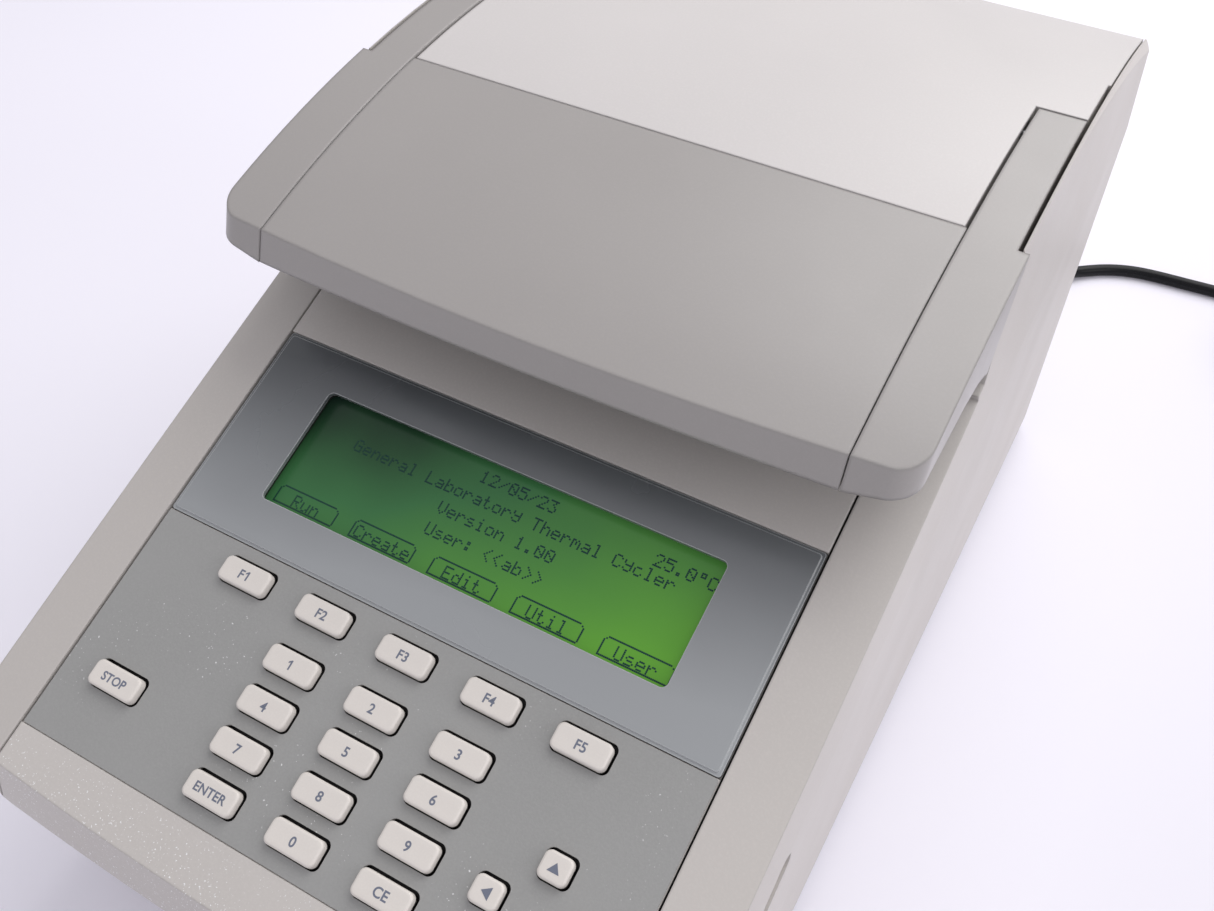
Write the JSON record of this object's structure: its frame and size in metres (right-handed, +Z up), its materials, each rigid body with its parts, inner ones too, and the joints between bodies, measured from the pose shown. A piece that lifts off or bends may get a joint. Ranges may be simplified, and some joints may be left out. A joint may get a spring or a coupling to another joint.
{
  "type": "thermal cycler",
  "caption": "Bench-top thermal cycler with a sloping keypad and display, a rear-hinged cover with a lift-up front lever, a heated lid platen and a plate-format sample block",
  "frame": {"origin": "middle of the instrument's footprint, on the table", "axes": "+X to the user's right, +Y to the rear, +Z up"},
  "size_m": [0.4325, 0.5708, 0.2225],
  "materials": {
    "case_plastic": "fine grain satin, warm beige grey",
    "cover_plastic": "fine grain satin, off-white",
    "lever_plastic": "fine grain satin, mid warm grey",
    "overlay": "textured polycarbonate film, mid grey",
    "bezel": "smooth, blue grey",
    "lcd": "green display behind clear cover",
    "key_plastic": "satin, off-white",
    "silicone": "soft silicone",
    "circuit_board": "green solder mask",
    "grille": "fine mesh, brown grey",
    "deck_plastic": "satin, dark grey",
    "block_metal": "silvery plated block",
    "raw_aluminium": "extruded",
    "ceramic": "white ceramic",
    "steel_plate": "zinc plated sheet",
    "pin_steel": "ground",
    "connector_metal": "plated shell",
    "black_plastic": "moulded, black",
    "cord_jacket": "smooth PVC jacket, black",
    "rubber": "moulded"
  },
  "bodies": {
    "case": {"upper_case": "case_plastic", "base_pan": "steel_plate", "rubber_feet": "rubber", "control_panel": "case_plastic", "keypad_overlay": "overlay", "display_bezel": "bezel", "lcd_module": "lcd", "key_membrane": "silicone", "keypad_board": "circuit_board", "side_grilles": "grille", "deck_plate": "deck_plastic", "block_gasket": "rubber", "sample_block": "block_metal", "peltier_modules": "ceramic", "heatsink": "raw_aluminium", "fan_frame": "black_plastic", "main_board": "circuit_board", "power_supply": "steel_plate", "power_inlet": "black_plastic", "serial_port": "connector_metal", "hinge_brackets": "steel_plate", "hinge_pins": "pin_steel", "case_screws": "pin_steel", "cord_socket": "black_plastic", "cord_lead": "cord_jacket", "cord_coil": "cord_jacket", "mains_plug": "black_plastic"},
    "cover": {"cover_shell": "cover_plastic", "cover_liner": "deck_plastic", "hinge_arms": "steel_plate"},
    "lever": {"lever_panel": "lever_plastic", "lever_arms": "lever_plastic", "lever_frame": "steel_plate", "lever_pins": "pin_steel"},
    "heated_lid": {"platen": "block_metal", "heater_pad": "silicone"},
    "fan": {"fan_rotor": "black_plastic"},
    "rocker": {"power_switch": "black_plastic"},
    "key_f1_body": {"key_f1": "key_plastic"},
    "key_f2_body": {"key_f2": "key_plastic"},
    "key_f3_body": {"key_f3": "key_plastic"},
    "key_f4_body": {"key_f4": "key_plastic"},
    "key_f5_body": {"key_f5": "key_plastic"},
    "key_1_body": {"key_1": "key_plastic"},
    "key_2_body": {"key_2": "key_plastic"},
    "key_3_body": {"key_3": "key_plastic"},
    "key_4_body": {"key_4": "key_plastic"},
    "key_5_body": {"key_5": "key_plastic"},
    "key_6_body": {"key_6": "key_plastic"},
    "key_7_body": {"key_7": "key_plastic"},
    "key_8_body": {"key_8": "key_plastic"},
    "key_9_body": {"key_9": "key_plastic"},
    "key_enter_body": {"key_enter": "key_plastic"},
    "key_0_body": {"key_0": "key_plastic"},
    "key_ce_body": {"key_ce": "key_plastic"},
    "key_stop_body": {"key_stop": "key_plastic"},
    "key_up_body": {"key_up": "key_plastic"},
    "key_down_body": {"key_down": "key_plastic"},
    "key_left_body": {"key_left": "key_plastic"},
    "key_right_body": {"key_right": "key_plastic"}
  },
  "joints": [
    {"name": "cover_hinge", "type": "hinge", "parent": "case", "child": "cover", "pos_m": [0, 0.19, 0.192], "axis": [-1, 0, 0], "range_deg": [0, 75]},
    {"name": "lever_hinge", "type": "hinge", "parent": "cover", "child": "lever", "pos_m": [0, 0.095, 0.2172], "axis": [-1, 0, 0], "range_deg": [0, 30]},
    {"name": "platen_slide", "type": "slide", "parent": "cover", "child": "heated_lid", "axis": [0, 0, 1], "range_m": [0, 0.006]},
    {"name": "fan_spin", "type": "hinge", "parent": "case", "child": "fan", "pos_m": [0, 0.1, 0.108], "axis": [0, 1, 0], "continuous": true},
    {"name": "rocker_tilt", "type": "hinge", "parent": "case", "child": "rocker", "pos_m": [0.05, 0.2035, 0.038], "axis": [1, 0, 0], "range_deg": [-18, 0]},
    {"name": "key_f1_press", "type": "slide", "parent": "case", "child": "key_f1_body", "axis": [0, 0.3343, -0.9425], "range_m": [0, 0.0012], "stiffness_N_per_m": 400},
    {"name": "key_f2_press", "type": "slide", "parent": "case", "child": "key_f2_body", "axis": [0, 0.3343, -0.9425], "range_m": [0, 0.0012], "stiffness_N_per_m": 400},
    {"name": "key_f3_press", "type": "slide", "parent": "case", "child": "key_f3_body", "axis": [0, 0.3343, -0.9425], "range_m": [0, 0.0012], "stiffness_N_per_m": 400},
    {"name": "key_f4_press", "type": "slide", "parent": "case", "child": "key_f4_body", "axis": [0, 0.3343, -0.9425], "range_m": [0, 0.0012], "stiffness_N_per_m": 400},
    {"name": "key_f5_press", "type": "slide", "parent": "case", "child": "key_f5_body", "axis": [0, 0.3343, -0.9425], "range_m": [0, 0.0012], "stiffness_N_per_m": 400},
    {"name": "key_1_press", "type": "slide", "parent": "case", "child": "key_1_body", "axis": [0, 0.3343, -0.9425], "range_m": [0, 0.0012], "stiffness_N_per_m": 400},
    {"name": "key_2_press", "type": "slide", "parent": "case", "child": "key_2_body", "axis": [0, 0.3343, -0.9425], "range_m": [0, 0.0012], "stiffness_N_per_m": 400},
    {"name": "key_3_press", "type": "slide", "parent": "case", "child": "key_3_body", "axis": [0, 0.3343, -0.9425], "range_m": [0, 0.0012], "stiffness_N_per_m": 400},
    {"name": "key_4_press", "type": "slide", "parent": "case", "child": "key_4_body", "axis": [0, 0.3343, -0.9425], "range_m": [0, 0.0012], "stiffness_N_per_m": 400},
    {"name": "key_5_press", "type": "slide", "parent": "case", "child": "key_5_body", "axis": [0, 0.3343, -0.9425], "range_m": [0, 0.0012], "stiffness_N_per_m": 400},
    {"name": "key_6_press", "type": "slide", "parent": "case", "child": "key_6_body", "axis": [0, 0.3343, -0.9425], "range_m": [0, 0.0012], "stiffness_N_per_m": 400},
    {"name": "key_7_press", "type": "slide", "parent": "case", "child": "key_7_body", "axis": [0, 0.3343, -0.9425], "range_m": [0, 0.0012], "stiffness_N_per_m": 400},
    {"name": "key_8_press", "type": "slide", "parent": "case", "child": "key_8_body", "axis": [0, 0.3343, -0.9425], "range_m": [0, 0.0012], "stiffness_N_per_m": 400},
    {"name": "key_9_press", "type": "slide", "parent": "case", "child": "key_9_body", "axis": [0, 0.3343, -0.9425], "range_m": [0, 0.0012], "stiffness_N_per_m": 400},
    {"name": "key_enter_press", "type": "slide", "parent": "case", "child": "key_enter_body", "axis": [0, 0.3343, -0.9425], "range_m": [0, 0.0012], "stiffness_N_per_m": 400},
    {"name": "key_0_press", "type": "slide", "parent": "case", "child": "key_0_body", "axis": [0, 0.3343, -0.9425], "range_m": [0, 0.0012], "stiffness_N_per_m": 400},
    {"name": "key_ce_press", "type": "slide", "parent": "case", "child": "key_ce_body", "axis": [0, 0.3343, -0.9425], "range_m": [0, 0.0012], "stiffness_N_per_m": 400},
    {"name": "key_stop_press", "type": "slide", "parent": "case", "child": "key_stop_body", "axis": [0, 0.3343, -0.9425], "range_m": [0, 0.0012], "stiffness_N_per_m": 400},
    {"name": "key_up_press", "type": "slide", "parent": "case", "child": "key_up_body", "axis": [0, 0.3343, -0.9425], "range_m": [0, 0.0012], "stiffness_N_per_m": 400},
    {"name": "key_down_press", "type": "slide", "parent": "case", "child": "key_down_body", "axis": [0, 0.3343, -0.9425], "range_m": [0, 0.0012], "stiffness_N_per_m": 400},
    {"name": "key_left_press", "type": "slide", "parent": "case", "child": "key_left_body", "axis": [0, 0.3343, -0.9425], "range_m": [0, 0.0012], "stiffness_N_per_m": 400},
    {"name": "key_right_press", "type": "slide", "parent": "case", "child": "key_right_body", "axis": [0, 0.3343, -0.9425], "range_m": [0, 0.0012], "stiffness_N_per_m": 400}
  ],
  "couplings": [
    {"joint": "platen_slide", "follows": "lever_hinge", "m_per_rad": 0.0114}
  ]
}
